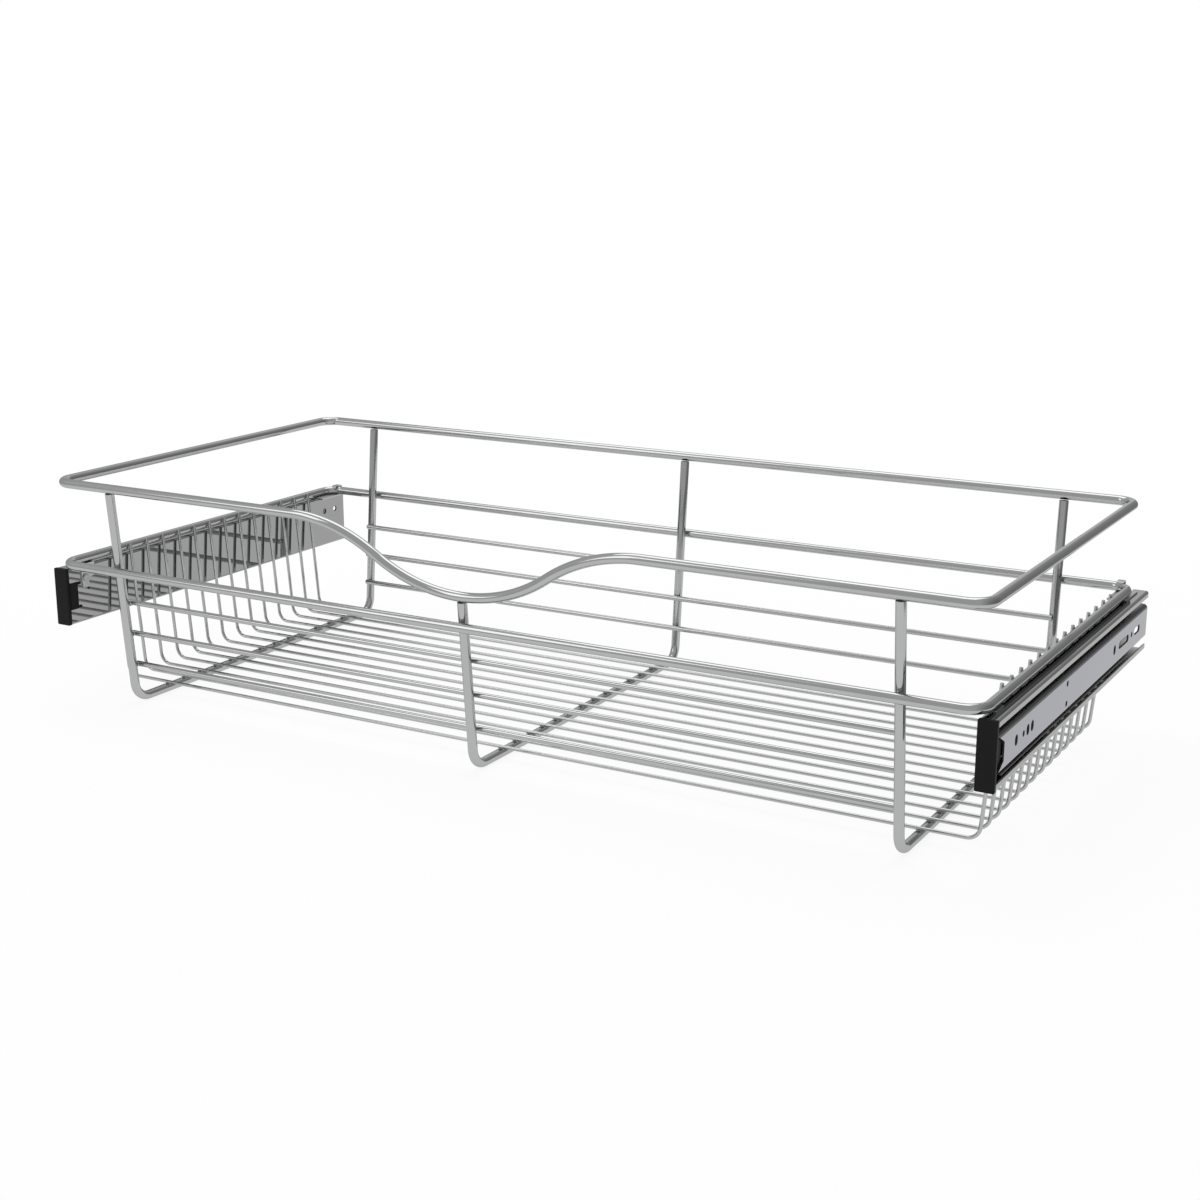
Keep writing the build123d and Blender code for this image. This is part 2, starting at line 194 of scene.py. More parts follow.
grey_card, glow = glowing_card("grey_card")
card_tree = grey_card.node_tree
towards = card_tree.nodes.new("ShaderNodeVectorMath")
towards.operation = "DOT_PRODUCT"
towards.inputs[1].default_value = DARK_SIDE
coordinates = card_tree.nodes.new("ShaderNodeTexCoord")
card_tree.links.new(coordinates.outputs["Object"], towards.inputs[0])
card_tree.links.new(spread_range(card_tree, towards.outputs["Value"], CARD_GREY, CARD_DARK,
                                 (DARK_FROM, TENT_RADIUS)), glow.inputs["Strength"])

mesh = bmesh.new()
bmesh.ops.create_uvsphere(mesh, u_segments=TENT_SEGMENTS, v_segments=TENT_RINGS,
                          radius=TENT_RADIUS)
tent = stage_piece(mesh, "grey_card_tent", grey_card)
print("tent of grey card, seen by reflections alone")

# %% Soft boxes and hung cards


def soft_box(name, place, facing, size, brightness):
    """An area lamp at a place, facing down the vector facing, of a given brightness."""
    data = bpy.data.lights.new(name, "AREA")
    data.shape = "RECTANGLE"
    data.size, data.size_y = size
    data.energy = brightness * math.pi * size[0] * size[1]
    lamp = bpy.data.objects.new(name, data)
    lamp.location = place
    lamp.rotation_euler = (-Vector(facing)).to_track_quat("Z", "Y").to_euler()
    lamp.visible_camera = False
    scene.collection.objects.link(lamp)


def hung_at(azimuth, elevation, distance):
    """A place in the room. Azimuth 0 is behind the basket, towards +Y."""
    turn, rise = math.radians(azimuth), math.radians(elevation)
    return Vector((math.sin(turn) * math.cos(rise), math.cos(turn) * math.cos(rise),
                   math.sin(rise))) * distance


def hung_card(name, azimuth, elevation, distance, half_width, half_height, brightness):
    """A flat card that glows evenly and faces the basket."""
    place = hung_at(azimuth, elevation, distance)
    material, glow = glowing_card(name)
    glow.inputs["Strength"].default_value = brightness
    mesh = bmesh.new()
    bmesh.ops.create_grid(mesh, x_segments=1, y_segments=1, size=1,
                          matrix=Matrix.Translation(place)
                          @ place.to_track_quat("Z", "Y").to_matrix().to_4x4()
                          @ Matrix.Diagonal((half_width, half_height, 1, 1)))
    return stage_piece(mesh, name, material)


soft_box("ceiling_soft_box", place=(-1.12, 1.60, 4.00), facing=(0, 0, -1), size=(3.8, 3.2),
         brightness=1.68)
strip_place = hung_at(azimuth=-142, elevation=31.5, distance=5.0)
soft_box("left_strip_box", place=strip_place, facing=-strip_place, size=(1.36, 2.95),
         brightness=1.42)
pale_card = hung_card("back_pale_card", azimuth=-20, elevation=18, distance=6.0,
                      half_width=1.7, half_height=3.0, brightness=0.85)
shade_card = hung_card("left_shade_card", azimuth=-116, elevation=46, distance=6.0,
                       half_width=1.8, half_height=2.6, brightness=0.70)
for glossy_only in (tent, pale_card, shade_card):
    glossy_only.visible_camera = False
    glossy_only.visible_diffuse = False
    glossy_only.visible_transmission = False
    glossy_only.visible_shadow = False
print("two soft boxes and two hung cards")

# %% [markdown]
# Plated wire. It is drawn through a die and then plated, so it is nearly a mirror, with a
# faint haze that changes over some centimetres and very fine draw marks. Noise on Object
# coordinates moves mostly the roughness and a shallow bump, because plating is even in
# colour. The noise on the rails is drawn out along them, as rolling leaves it.

# %% Plated finishes
NOISE_SPAN = (0.3, 0.7)
HAZE_DETAIL, GRAIN_DETAIL, PLASTIC_DETAIL = 3, 4, 2
DARKER, LIGHTER = 0.955, 1.045         # the haze moves the tint between these shares of it
EDGE_TINT = (0.75, 0.75, 0.75, 1)      # plating stays grey where it is seen at a low angle
PLATED_BUMP, PLASTIC_BUMP = 0.35, 0.5
ROLLED = (1, 0.06, 1)
LEDGE_METAL = 0.35                     # the ledges are dull enough to scatter some light
DULL = 0.15                            # specular level of black plastic and of the painted shade


def add_noise(tree_nodes, tree_links, scale, detail, stretch=(1, 1, 1)):
    """Noise in Object coordinates, its features 1 / scale metres apart, squeezed by stretch."""
    place = tree_nodes.new("ShaderNodeTexCoord")
    mapping = tree_nodes.new("ShaderNodeMapping")
    mapping.inputs["Scale"].default_value = stretch
    noise = tree_nodes.new("ShaderNodeTexNoise")
    noise.inputs["Scale"].default_value = scale
    noise.inputs["Detail"].default_value = detail
    tree_links.new(place.outputs["Object"], mapping.inputs["Vector"])
    tree_links.new(mapping.outputs["Vector"], noise.inputs["Vector"])
    return noise.outputs["Fac"]


def add_bump(tree_nodes, tree_links, height, strength, depth, shader):
    """Raises a shader's surface by depth metres where height is 1."""
    bump = tree_nodes.new("ShaderNodeBump")
    bump.inputs["Strength"].default_value = strength
    bump.inputs["Distance"].default_value = depth
    tree_links.new(height, bump.inputs["Height"])
    tree_links.new(bump.outputs["Normal"], shader.inputs["Normal"])


def plated(name, tint, roughness, haze_scale, grain_scale, grain_depth, stretch=(1, 1, 1)):
    """Plated metal: tint in a light and a darker shade, roughness from and to, fine grain."""
    material, tree_nodes, tree_links, shader = new_material(name)
    shader.inputs["Metallic"].default_value = 1
    shader.inputs["Specular Tint"].default_value = EDGE_TINT
    haze = add_noise(tree_nodes, tree_links, haze_scale, HAZE_DETAIL, stretch)
    blend = tree_nodes.new("ShaderNodeMix")
    blend.data_type = "RGBA"
    blend.inputs["A"].default_value = (*[part * DARKER for part in tint], 1)
    blend.inputs["B"].default_value = (*[part * LIGHTER for part in tint], 1)
    tree_links.new(haze, blend.inputs["Factor"])
    tree_links.new(blend.outputs["Result"], shader.inputs["Base Color"])
    grain = add_noise(tree_nodes, tree_links, grain_scale, GRAIN_DETAIL, stretch)
    tree_links.new(spread_range(material.node_tree, grain, *roughness, NOISE_SPAN),
                   shader.inputs["Roughness"])
    add_bump(tree_nodes, tree_links, grain, PLATED_BUMP, grain_depth, shader)
    return material


# Each line: name, tint, roughness from and to, haze and grain to the metre, depth of grain
bright_wire = plated("bright_plated_wire", (0.442, 0.445, 0.448), (0.06, 0.11), 40, 700, 3e-6)
rail_zinc = plated("bright_zinc_rail", (0.405, 0.41, 0.44), (0.03, 0.08), 18, 240, 3e-6,
                   ROLLED)
channel_zinc = plated("bright_zinc_channel", (0.40, 0.405, 0.40), (0.012, 0.035), 18, 240,
                      1e-6, ROLLED)
web_zinc = plated("bright_zinc_web", (0.325, 0.33, 0.326), (0.012, 0.035), 18, 240, 1e-6,
                  ROLLED)
inside_zinc = plated("oiled_inner_zinc", (0.47, 0.47, 0.48), (0.36, 0.5), 30, 240, 1e-5,
                     ROLLED)
# Painted shade: a dark zinc for the cabinet rail's bends and inside, where the slide lies in
# shade
painted_bend_shade = plated("painted_shade_rail_bend", (0.13, 0.13, 0.135), (0.30, 0.42), 30, 240, 1e-5,
                   ROLLED)
bracket_zinc = plated("zinc_bracket", (0.45, 0.455, 0.465), (0.14, 0.24), 90, 900, 1e-5)
ledge_zinc = plated("matt_ledge_zinc", (0.42, 0.42, 0.43), (0.35, 0.5), 90, 900, 1e-5)
# Painted shade: a dark zinc for the hooks' sides that look to the front
painted_hook_shade = plated("painted_shade_hook_front", (0.20, 0.20, 0.205), (0.22, 0.34), 90, 900, 1e-5)
screw_zinc = plated("zinc_screw", (0.42, 0.42, 0.43), (0.16, 0.28), 200, 1500, 1e-5)
cage_steel = plated("pressed_cage_steel", (0.48, 0.48, 0.49), (0.42, 0.55), 120, 800, 1e-5)
ball_steel = plated("greased_ball_steel", (0.40, 0.40, 0.40), (0.36, 0.46), 200, 900, 1e-6)
# Painted shade: near-black for the support wires' cut ends under the rims, for the shade in the
# gap there
painted_end_shade = plated("painted_shade_wire_end", (0.035, 0.035, 0.036), (0.42, 0.55), 300, 1800, 1e-5)
# Painted shade: near-black for the walls of the punched holes, for the shade inside them
painted_hole_shade = plated("painted_shade_hole_wall", (0.05, 0.05, 0.052), (0.35, 0.5), 300, 1800, 1e-5)
weld_steel = plated("plated_weld", (0.34, 0.342, 0.345), (0.14, 0.24), 300, 1500, 1e-5)

ledge_zinc.node_tree.nodes["Principled BSDF"].inputs["Metallic"].default_value = LEDGE_METAL
for painted_dark in (painted_end_shade, painted_hole_shade):        # painted shade, dark also at a low angle
    shader = painted_dark.node_tree.nodes["Principled BSDF"]
    shader.inputs["Metallic"].default_value = 0
    shader.inputs["Specular IOR Level"].default_value = DULL
print("plated finishes", [material.name for material in bpy.data.materials])

# %% Moulded plastic
PLASTIC_BLACK = (0.0050, 0.0049, 0.0050, 1)
PLASTIC_WORN = (0.0075, 0.0073, 0.0075, 1)
PLASTIC_ROUGHNESS = (0.5, 0.66)
PLASTIC_GRAIN, PLASTIC_WEAR = 2600, 160        # to the metre
PLASTIC_DEPTH = 2e-5

cap_plastic, cap_nodes, cap_links, shader = new_material("moulded_black_plastic")
grain = add_noise(cap_nodes, cap_links, PLASTIC_GRAIN, PLASTIC_DETAIL)
tone = cap_nodes.new("ShaderNodeMix")
tone.data_type = "RGBA"
tone.inputs["A"].default_value = PLASTIC_BLACK
tone.inputs["B"].default_value = PLASTIC_WORN
cap_links.new(add_noise(cap_nodes, cap_links, PLASTIC_WEAR, HAZE_DETAIL),
              tone.inputs["Factor"])
cap_links.new(tone.outputs["Result"], shader.inputs["Base Color"])
cap_links.new(spread_range(cap_plastic.node_tree, grain, *PLASTIC_ROUGHNESS, NOISE_SPAN),
              shader.inputs["Roughness"])
shader.inputs["Specular IOR Level"].default_value = DULL
add_bump(cap_nodes, cap_links, grain, PLASTIC_BUMP, PLASTIC_DEPTH, shader)
print("finish", cap_plastic.name)

# %% [markdown]
# Every wire here is made the way a bender makes it: a round disc is fed straight on, which is
# an extrude, and turned round a former at each corner, which is a spin. One helper walks the
# corners of a wire and does both, so each wire needs only its corners and its bend radii.

# %% Feed and bend
DEGREES_PER_STEP = 7.5
BEND_PER_STEP = 3 * MM         # at most this much of a wide bend's axis between two rings
FEWEST_STEPS = 4
END_BEVEL = 0.35 * MM
MERGE = 0.01 * MM


def edges_of(geometry):
    return [part for part in geometry if isinstance(part, bmesh.types.BMEdge)]


def feed(mesh, ring, step):
    """Extrudes the open ring of edges straight on by the vector step."""
    made = bmesh.ops.extrude_edge_only(mesh, edges=ring)["geom"]
    fresh = {part for part in made if isinstance(part, bmesh.types.BMVert)}
    bmesh.ops.translate(mesh, vec=step, verts=list(fresh))
    return [edge for edge in edges_of(made) if set(edge.verts) <= fresh]


def turn(mesh, ring, centre, axis, angle, steps):
    """Spins the open ring of edges round a former."""
    made = bmesh.ops.spin(mesh, geom=ring, cent=centre, axis=axis, angle=angle, steps=steps,
                          use_merge=False)
    return edges_of(made["geom_last"])


def round_off(mesh, edges, width, segments=2, clamp=True):
    """Bevels edges into a round that starts width away from them."""
    bmesh.ops.bevel(mesh, geom=edges, offset=width, offset_type="OFFSET", segments=segments,
                    profile=0.5, affect="EDGES", material=-1, clamp_overlap=clamp)


def walk(corners, radii, closed):
    """Yields each straight step and each bend of a wire through its corners."""
    points = [Vector(corner) for corner in corners]
    if closed:
        start = (points[0] + points[-1]) / 2
        points = [start, *points, start]
    here = points[0]
    for index, corner in enumerate(points[1:-1], 1):
        arrive = (corner - points[index - 1]).normalized()
        leave = (points[index + 1] - corner).normalized()
        angle = arrive.angle(leave)
        radius = radii[index - 1]
        setback = arrive * radius * math.tan(angle / 2)
        axis = arrive.cross(leave).normalized()
        yield "feed", corner - setback - here
        yield "turn", (corner - setback + axis.cross(arrive) * radius, axis, angle, radius)
        here = corner + leave * setback.length
    yield "feed", points[-1] - here


def wire_mesh(diameter, corners, radii, sides, closed=False):
    """A bmesh of one round wire, closed into a loop or cut square at both ends."""
    mesh = bmesh.new()
    moves = list(walk(corners, radii, closed))
    start = (Vector(corners[0]) + Vector(corners[-1])) / 2 if closed else Vector(corners[0])
    facing = moves[0][1].to_track_quat("Z", "Y").to_matrix().to_4x4()
    bmesh.ops.create_circle(mesh, segments=sides, radius=diameter / 2,
                            matrix=Matrix.Translation(start) @ facing)
    first = mesh.edges[:]
    ring = first
    for kind, move in moves:
        if kind == "feed":
            ring = feed(mesh, ring, move)
        else:
            centre, axis, angle, radius = move
            ring = turn(mesh, ring, centre, axis, angle,
                        max(FEWEST_STEPS, round(math.degrees(angle) / DEGREES_PER_STEP),
                            round(angle * radius / BEND_PER_STEP)))
    if closed:
        bmesh.ops.remove_doubles(mesh, verts=mesh.verts, dist=MERGE)
    else:
        for end in (first, ring):
            bmesh.ops.edgeloop_fill(mesh, edges=end)
        round_off(mesh, first + ring, END_BEVEL)
    return mesh


def finish_piece(mesh, name, material, body, replaced=(), sharp=40, extras=()):
    """Turns a bmesh into a piece that rides on a body and may replace CAD nodes.

    sharp is the angle in degrees past which an edge isn't shaded as round.
    """
    bmesh.ops.recalc_face_normals(mesh, faces=mesh.faces)
    data = bpy.data.meshes.new(name)
    mesh.to_mesh(data)
    mesh.free()
    data.shade_smooth()
    data.set_sharp_from_angle(angle=math.radians(sharp))
    data.materials.append(material)
    for extra in extras:
        data.materials.append(extra)
    piece = bpy.data.objects.new(name, data)
    scene.collection.objects.link(piece)
    weighted = piece.modifiers.new("even_normals", "WEIGHTED_NORMAL")
    weighted.keep_sharp = True
    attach(piece, body)
    if replaced:
        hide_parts(*replaced)


print("wire helper ready")

# %% [markdown]
# The top rim is one thick wire, bent round four corners and closed by a butt weld. Its front
# run dips for the hand: a shoulder, a slope, a wide floor, and the same again mirrored. The
# dip leans in towards the floor by the five degrees that the walls do. The lower frame has
# the same plan and no dip.

# %% Rims
RIM_WIRE = 7.2 * MM
FRAME_WIRE = 7.0 * MM
WALL_WIRE = 4.2 * MM
FLOOR_WIRE = 2.6 * MM
RIM_CORNER = 14 * MM
SIDE_TAPER = math.radians(5.1)
GRIP_DEPTH = 44 * MM
GRIP_ANGLE = math.radians(33.2)
GRIP_FLOOR_RADIUS = 123 * MM
GRIP_SHOULDER_RADIUS = 127 * MM
THICK_SIDES = 40
WALL_SIDES = 28
THIN_SIDES = 20

rim_low, rim_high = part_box("top_rim_wire")
frame_low, frame_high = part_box("lower_frame_wire")
rim_x = rim_high.x - RIM_WIRE / 2
rim_back = rim_high.y - RIM_WIRE / 2
rim_front = rim_low.y + RIM_WIRE / 2
rim_z = rim_high.z - RIM_WIRE / 2
frame_z = (frame_low.z + frame_high.z) / 2
middle_y = (rim_front + rim_back) / 2


def plan_corners(z):
    """The four corners of a rim, from the back right one round by the back left."""
    return [(rim_x, rim_back, z), (-rim_x, rim_back, z), (-rim_x, rim_front, z),
            (rim_x, rim_front, z)]


lean = math.tan(SIDE_TAPER)
drop = GRIP_DEPTH + GRIP_FLOOR_RADIUS * (1 / math.cos(GRIP_ANGLE) - 1)
shoulder_x = drop / math.tan(GRIP_ANGLE)
grip = [(-shoulder_x, rim_front, rim_z), (0, rim_front + drop * lean, rim_z - drop),
        (shoulder_x, rim_front, rim_z)]
right_back, left_back, left_front, right_front = plan_corners(rim_z)
# The loop starts in the middle of the back run, between the last corner and the first
rim_corners = [left_back, left_front, *grip, right_front, right_back]
rim_radii = [RIM_CORNER, RIM_CORNER, GRIP_SHOULDER_RADIUS, GRIP_FLOOR_RADIUS,
             GRIP_SHOULDER_RADIUS, RIM_CORNER, RIM_CORNER]
mesh = wire_mesh(RIM_WIRE, rim_corners, rim_radii, THICK_SIDES, closed=True)
finish_piece(mesh, "plated_top_rim", bright_wire, "basket", ["top_rim_wire"])

right_back, left_back, left_front, right_front = plan_corners(frame_z)
mesh = wire_mesh(FRAME_WIRE, [left_back, left_front, right_front, right_back],
                 [RIM_CORNER] * 4, THICK_SIDES, closed=True)
finish_piece(mesh, "plated_lower_frame", bright_wire, "basket",
             ["lower_frame_wire"])
print("rims at", round(rim_z, 4), "and", round(frame_z, 4), "m")

# %% [markdown]
# Three support wires run from under the front rim down, back below the floor and up to the
# back rim. Their uprights lean outwards as they rise. The middle one is shorter at the
# front, because it ends under the dip.

# %% Support wires
SUPPORT_BEND = 14 * MM
WELD_GAP = 0.03 * MM
foot_z = FRAME_WIRE / 2


def upright_y(z):
    """Distance of an upright's axis from the middle of the basket, at height z."""
    return rim_back - middle_y - FRAME_WIRE - WELD_GAP + (z - frame_z) * lean


def upright_end(wire_top):
    """Height of the end of an upright's axis, when its highest edge is at wire_top."""
    return wire_top - FRAME_WIRE / 2 * math.sin(SIDE_TAPER)


def support_wire(side, front_top):
    """One support wire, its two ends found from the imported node's box."""
    node = side + "_support_wire"
    low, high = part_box(node)
    x = (low.x + high.x) / 2
    back_end, front_end = upright_end(high.z), upright_end(front_top)
    corners = [(x, middle_y - upright_y(front_end), front_end),
               (x, middle_y - upright_y(foot_z), foot_z),
               (x, middle_y + upright_y(foot_z), foot_z),
               (x, middle_y + upright_y(back_end), back_end)]
    mesh = wire_mesh(FRAME_WIRE, corners, [SUPPORT_BEND] * 2, THICK_SIDES)
    # The cut ends and the ring of faces next to them take painted shade, for the dark gap under
    # the rim
    for cap in [face for face in mesh.faces if len(face.verts) == THICK_SIDES]:
        for edge in cap.edges:
            for face in edge.link_faces:
                face.material_index = 1
    finish_piece(mesh, "plated_support_" + side, bright_wire, "basket", [node],
                 extras=[painted_end_shade])
    return x


support_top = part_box("left_support_wire")[1].z
support_xs = [support_wire("left", support_top),
              support_wire("middle", support_top - GRIP_DEPTH),
              support_wire("right", support_top)]
print("support wires at x", [round(x, 4) for x in support_xs])

# %% [markdown]
# Fourteen thin lateral wires make the floor. Each lies across the supports, turns up at both
# sides, leans out and ends just above the lower frame, against its inner side. Six medium
# wires fence the front and the back.

# %% Floor and wall wires
LATERAL_BEND = 9 * MM
LATERAL_TIP = 3.4 * MM         # above the lower frame's axis

lateral_nodes = sorted(name for name in nodes if name.startswith("lateral_wire"))
tip_z = frame_z + LATERAL_TIP
at_frame = rim_x - FRAME_WIRE / 2 - FLOOR_WIRE / 2 - WELD_GAP
tip_x = at_frame + LATERAL_TIP * lean
lateral_ys = []
for name in lateral_nodes:
    low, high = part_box(name)
    y = (low.y + high.y) / 2
    lateral_z = low.z + FLOOR_WIRE / 2
    floor_x = at_frame - (frame_z - lateral_z) * lean
    corners = [(-tip_x, y, tip_z), (-floor_x, y, lateral_z), (floor_x, y, lateral_z),
               (tip_x, y, tip_z)]
    mesh = wire_mesh(FLOOR_WIRE, corners, [LATERAL_BEND] * 2, THIN_SIDES)
    finish_piece(mesh, "plated_" + name, bright_wire, "basket", [name])
    lateral_ys.append(y)

wall_nodes = sorted(name for name in nodes if "_wall_wire_" in name)
wall_places = []
for name in wall_nodes:
    low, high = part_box(name)
    y, z = (low.y + high.y) / 2, (low.z + high.z) / 2
    mesh = wire_mesh(WALL_WIRE, [(low.x, y, z), (high.x, y, z)], [], WALL_SIDES)
    finish_piece(mesh, "plated_" + name, bright_wire, "basket", [name])
    wall_places.append((y, z))
print(len(lateral_ys), "lateral wires and", len(wall_places), "wall wires")

# %% [markdown]
# Resistance welding squeezes a little steel out of each crossing, and the plating covers it.
# One mesh holds all of these nuggets.

# %% Weld nuggets
THIN_WELD = (0.6 * MM, 1.5 * MM, 1.3 * MM)     # half sizes: across, along and sideways
WALL_WELD = (1.0 * MM, 2.1 * MM, 1.9 * MM)
THICK_WELD = (1.4 * MM, 2.9 * MM, 2.6 * MM)
WALL_WELD_INSIDE = 0.995       # the outer ones keep clear of the wall wires' ends
NUGGET_VERTS = 42
WELD_SHARP = 80                # degrees, so that the nuggets are shaded round
UP, RIGHT, BACK = (0, 0, 1), (1, 0, 0), (0, 1, 0)

welds = bmesh.new()


def nugget(place, across, along, size):
    """A flattened lump at a crossing, across and along being two of its axes."""
    across, along = Vector(across).normalized(), Vector(along).normalized()
    turned = Matrix((across, along, across.cross(along))).transposed().to_4x4()
    bmesh.ops.create_icosphere(welds, subdivisions=2, radius=1, matrix=Matrix.Translation(place)
                               @ turned @ Matrix.Diagonal((*size, 1)))


support_top_z = FRAME_WIRE
frame_inside = rim_x - FRAME_WIRE / 2
for y in lateral_ys:
    for x in support_xs:
        nugget((x, y, support_top_z), UP, RIGHT, THIN_WELD)
    for sign in (-1, 1):
        nugget((sign * frame_inside, y, frame_z), RIGHT, BACK, THIN_WELD)
for y, z in wall_places:
    sign = 1 if y > middle_y else -1
    at_upright = y + sign * WALL_WIRE / 2
    for x in support_xs:
        nugget((x * WALL_WELD_INSIDE, at_upright, z), BACK, RIGHT, WALL_WELD)
for x in support_xs:
    for sign in (-1, 1):
        nugget((x, middle_y + sign * (rim_back - middle_y - FRAME_WIRE / 2), frame_z), BACK,
               RIGHT, THICK_WELD)
weld_count = len(welds.verts) // NUGGET_VERTS
finish_piece(welds, "weld_nuggets", weld_steel, "basket", sharp=WELD_SHARP)
print(weld_count, "weld nuggets")

# %% [markdown]
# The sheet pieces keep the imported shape, with its notches, slots and holes. Pressed and
# rolled steel never has a knife edge, though, and a sharp edge catches no light. So a copy of
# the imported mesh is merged, its flat triangles are dissolved into whole faces, and the sharp
# edges are bevelled by a tenth of a millimetre, or more round the holes and on the caps.

# %% Softened copies of the sheet pieces
DOUBLES = 0.002 * MM
FLAT_ANGLE = math.radians(1.0)
CREASE = math.radians(28)      # an edge sharper than this is bevelled
SHEET_SHARP = 30               # degrees, for the shading
SHEET_BEVEL = 0.12 * MM
HOLE_BEVEL = 0.45 * MM
CAP_BEVEL = 0.3 * MM


def softened(node, name, material, body, width, extras=(), pick=None, punched=None):
    """A merged copy of a CAD node with its sharp edges bevelled.

    pick gives a face's place among material and extras. Edges that punched accepts, round
    the holes, are bevelled by HOLE_BEVEL first.
    """
    mesh = bmesh.new()
    mesh.from_mesh(nodes[node].data)
    bmesh.ops.remove_doubles(mesh, verts=mesh.verts, dist=DOUBLES)
    bmesh.ops.dissolve_limit(mesh, angle_limit=FLAT_ANGLE, verts=mesh.verts, edges=mesh.edges,
                             use_dissolve_boundaries=False)

    def soften(width, wanted, clamp):
        sharp = [edge for edge in mesh.edges if len(edge.link_faces) == 2
                 and edge.calc_face_angle() > CREASE and wanted(edge)]
        round_off(mesh, sharp, width, clamp=clamp)
        return len(sharp)

    if punched:
        print(node, soften(HOLE_BEVEL, punched, False), "edges round holes")
        soften(width, lambda edge: not punched(edge), True)
    else:
        soften(width, lambda edge: True, True)
    if pick:
        mesh.normal_update()
        for face in mesh.faces:
            face.material_index = pick(face)
    finish_piece(mesh, name, material, body, [node], sharp=SHEET_SHARP, extras=extras)


print("sheet helper ready")

# %% [markdown]
# A rail's faces take their finish by where they are. The walls of the punched holes, and the
# cabinet rail's bends and inside, take a dark colour that is painted shade; what looks into the
# slide is oiled, and the rest is plated zinc.

# %% Rails, caps and front clips
SHEET = 1.2 * MM
NEAR_FACE = 0.6 * MM           # how deep in the sheet an edge round a hole may lie
SKIN = 1.05 * SHEET            # a place deeper than this is inside the cabinet rail
ROLLED_WEB = 1.5 * SHEET       # the basket rail's web lies within this of its inner side
FLAT_ON = 0.97                 # a face of the web has at least this much of X in its normal
OUTWARD = 0.5                  # and one that looks into the slide at least this much
BEND_TILT = 0.55               # a face of a bend has at least this much of Z
INWARD = 0.3                   # and one of a flange's inner side at least this much
RAIL_FLAT = 9.5 * MM           # from the slide's middle up and down, on the cabinet rail
RAIL_HOLES = (22 * MM, 5 * MM)         # the holes lie this far in from its front and rear
CHANNEL_FLAT = 15 * MM         # the same for the basket rail
CHANNEL_HOLES = (40 * MM, 3 * MM)      # its holes lie between these, ahead of its rear

rail_low, rail_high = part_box("right_cabinet_rail")
channel_low, channel_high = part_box("right_basket_rail")
web_outside, rail_middle = rail_high.x, (rail_low.z + rail_high.z) / 2


def in_web(place):
    """True for a place on the flat of the cabinet rail's web, clear of its two ends."""
    return (abs(place.z - rail_middle) < RAIL_FLAT
            and rail_low.y + RAIL_HOLES[0] < place.y < rail_high.y - RAIL_HOLES[1])


def round_hole(edge):
    """True for an edge round a hole in the outside of the cabinet rail's web."""
    return all(in_web(vert.co) and abs(vert.co.x) > web_outside - NEAR_FACE
               for vert in edge.verts)


def cabinet_rail_shade(face):
    """1 for the walls of the web's holes, 2 for the rail's bends and its inside; both take
    painted shade.
    """
    middle = face.calc_center_median()
    if abs(face.normal.x) < FLAT_ON and in_web(middle):
        return 1
    bend = abs(middle.z - rail_middle) > RAIL_FLAT and abs(face.normal.z) > BEND_TILT
    return 2 if bend or abs(middle.x) < web_outside - SKIN else 0


def in_channel_web(place):
    """True for a place on the rear of the basket rail's web, clear of its end."""
    first, last = CHANNEL_HOLES
    return (abs(place.z - rail_middle) < CHANNEL_FLAT
            and channel_high.y - first < place.y < channel_high.y - last)


def round_rear_hole(edge):
    """True for an edge round a hole in the basket side of the basket rail's web."""
    return all(in_channel_web(vert.co) and abs(vert.co.x) < channel_low.x + NEAR_FACE
               for vert in edge.verts)


def inside_channel(face):
    """1 for the faces of the basket rail that look into the slide, 2 for its holes' walls,
    which take painted shade.

    3 is for the side of its web that looks at the basket.
    """
    middle = face.calc_center_median()
    height = middle.z - rail_middle
    if abs(middle.x) < channel_low.x + ROLLED_WEB:
        if abs(face.normal.x) < FLAT_ON and in_channel_web(middle):
            return 2
        outward = face.normal.x * middle.x / abs(middle.x)
        return 1 if outward > OUTWARD else 3 if outward < -FLAT_ON else 0
    return int(face.normal.z * height < -INWARD * abs(height))


for side in ("left", "right"):
    softened(side + "_basket_rail", side + "_outer_channel", channel_zinc, "basket",
             SHEET_BEVEL, [inside_zinc, painted_hole_shade, web_zinc], inside_channel,
             round_rear_hole)
    softened(side + "_middle_rail", side + "_middle_channel", inside_zinc, "middle_rails",
             SHEET_BEVEL)
    softened(side + "_cabinet_rail", side + "_inner_channel", rail_zinc, "cabinet_rails",
             SHEET_BEVEL, [painted_hole_shade, painted_bend_shade], cabinet_rail_shade, round_hole)
    softened(side + "_end_cap", side + "_moulded_cap", cap_plastic, "basket",
             CAP_BEVEL)
    softened(side + "_front_clip", side + "_front_ledge", bracket_zinc, "basket",
             SHEET_BEVEL)
print("sheet pieces softened")

# %% [markdown]
# The rear brackets are pressed from strip: a ledge under the lower frame, with a narrow tab
# that is bent up behind the back run, over it, and a little way down in front.

# %% Rear brackets
STRIP = 1.05 * MM
LEDGE_BEHIND = 5.1 * MM        # of the lower frame's back run
LEDGE_REACH = 8 * MM           # from the ledge's inner edge to the slide's inner face
TAB_WIDTH = 5.0 * MM
TAB_INSIDE = 2.3 * MM          # outer edge of the tab inside the slide's inner face
TAB_BEND = 1.5 * MM
TAB_BEND_SEGMENTS = 4
TIP_LEAN = 0.5 * MM            # the tab's tip leans this far forward on its way down
TIP_ABOVE = 0.6 * MM           # and ends this far above the back run's axis
LEVEL = 0.9                    # Z in the normal of the ledge's upper side
FORWARD = 0.5                  # -Y in the normal of a side that looks to the front


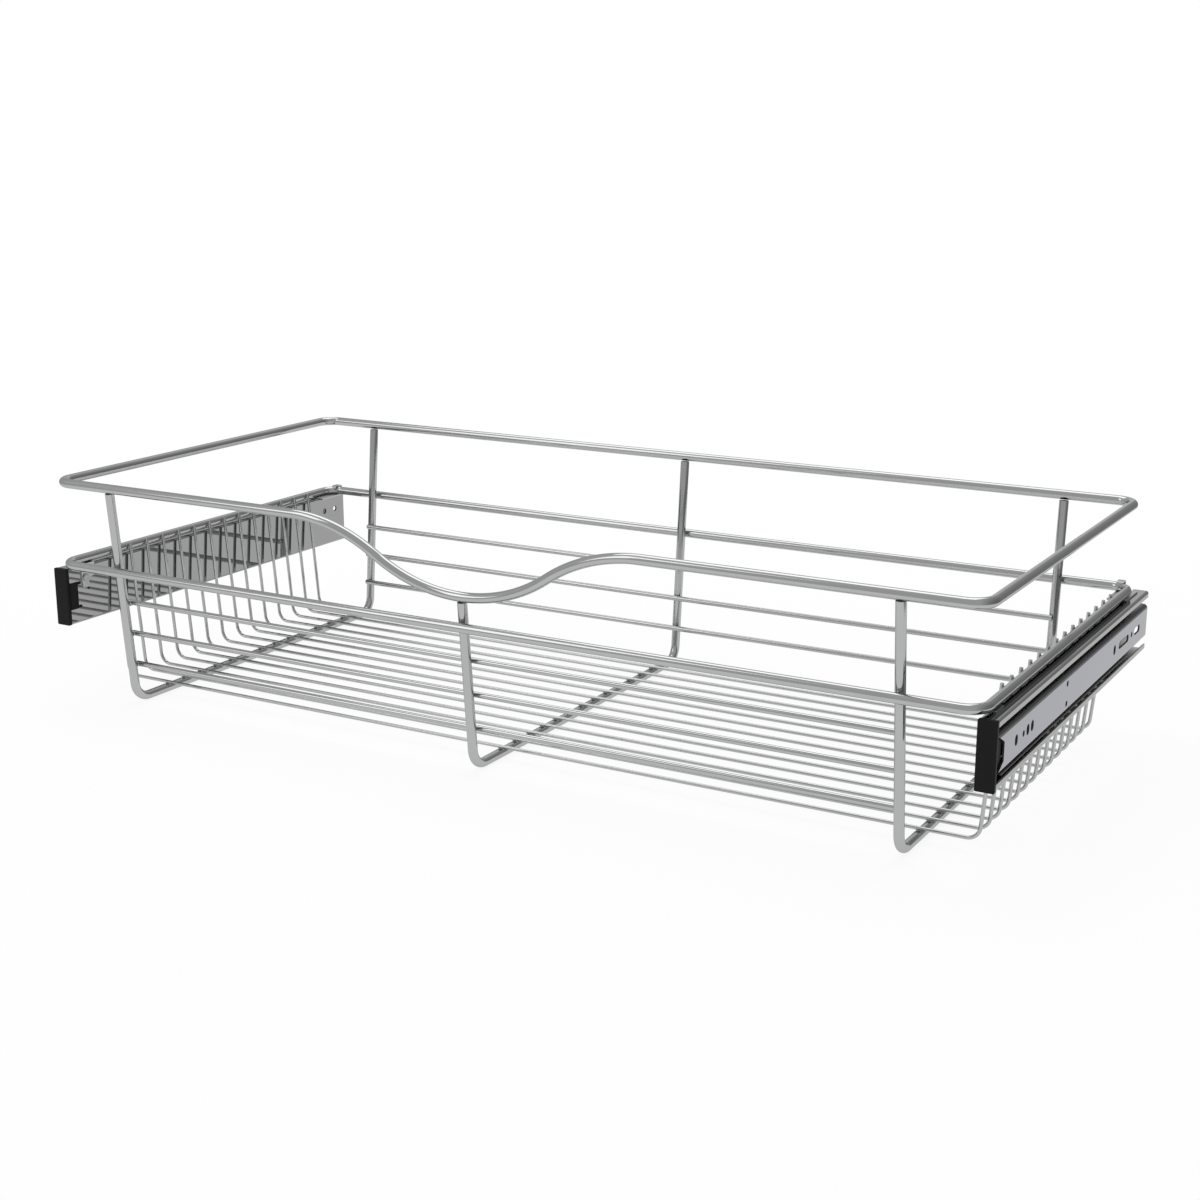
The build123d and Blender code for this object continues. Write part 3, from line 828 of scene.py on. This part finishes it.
def pressed_strip(mesh, profile, low_x, high_x, bend):
    """A strip along X whose section is the outline profile, in y and z, with soft bends."""
    corners = [mesh.verts.new((low_x, y, z)) for y, z in profile]
    end = mesh.faces.new(corners)
    made = bmesh.ops.extrude_face_region(mesh, geom=[end])["geom"]
    moved = [part for part in made if isinstance(part, bmesh.types.BMVert)]
    bmesh.ops.translate(mesh, vec=(high_x - low_x, 0, 0), verts=moved)
    if bend:
        folds = [edge for edge in mesh.edges
                 if abs(edge.verts[0].co.x - edge.verts[1].co.x) > (high_x - low_x) / 2
                 and edge.verts[0].co.z > frame_z + FRAME_WIRE / 2]
        round_off(mesh, folds, bend, TAB_BEND_SEGMENTS)


def rear_bracket(side, sign):
    """A ledge and its tab, on the side of the basket that sign gives."""
    low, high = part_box(side + "_rear_bracket")
    inner, outer = (low.x, high.x) if sign > 0 else (-high.x, -low.x)
    under, over = low.z, frame_z + FRAME_WIRE / 2 + WELD_GAP
    behind = rim_back + FRAME_WIRE / 2 + WELD_GAP
    front = rim_back - FRAME_WIRE / 2 - WELD_GAP
    mesh = bmesh.new()
    pressed_strip(mesh, [(low.y, under), (rim_back + LEDGE_BEHIND, under),
                         (rim_back + LEDGE_BEHIND, under + STRIP), (low.y, under + STRIP)],
                  inner, outer, 0)
    tab_outer = inner + LEDGE_REACH - TAB_INSIDE
    pressed_strip(mesh, [(behind, under + STRIP), (behind, over), (front, over),
                         (front - TIP_LEAN, frame_z + TIP_ABOVE),
                         (front - TIP_LEAN - STRIP, frame_z + TIP_ABOVE),
                         (front - STRIP, over + STRIP), (behind + STRIP, over + STRIP),
                         (behind + STRIP, under + STRIP)],
                  tab_outer - TAB_WIDTH, tab_outer, TAB_BEND)
    if sign < 0:
        bmesh.ops.scale(mesh, vec=(-1, 1, 1), verts=mesh.verts)
        bmesh.ops.reverse_faces(mesh, faces=mesh.faces)
    mesh.normal_update()
    for face in mesh.faces:
        low_down = face.calc_center_median().z < under + 1.5 * STRIP
        on_ledge = low_down and face.normal.z > LEVEL
        # The sides that look to the front take a darker zinc as painted shade
        face.material_index = 2 if on_ledge else int(face.normal.y < -FORWARD)
    finish_piece(mesh, side + "_rear_hook", bracket_zinc, "basket",
                 [side + "_rear_bracket"], sharp=SHEET_SHARP, extras=[painted_hook_shade, ledge_zinc])


rear_bracket("left", -1)
rear_bracket("right", 1)
print("rear brackets pressed")

# %% Finishes of the nodes that stay
kept_finish = {"clip_screw": screw_zinc, "ball_cage": cage_steel, "balls": ball_steel}
for name, node in nodes.items():
    for word, material in kept_finish.items():
        if name.endswith(word):
            for material_slot in node.material_slots:
                material_slot.link = "OBJECT"
                material_slot.material = material
print("kept nodes finished")
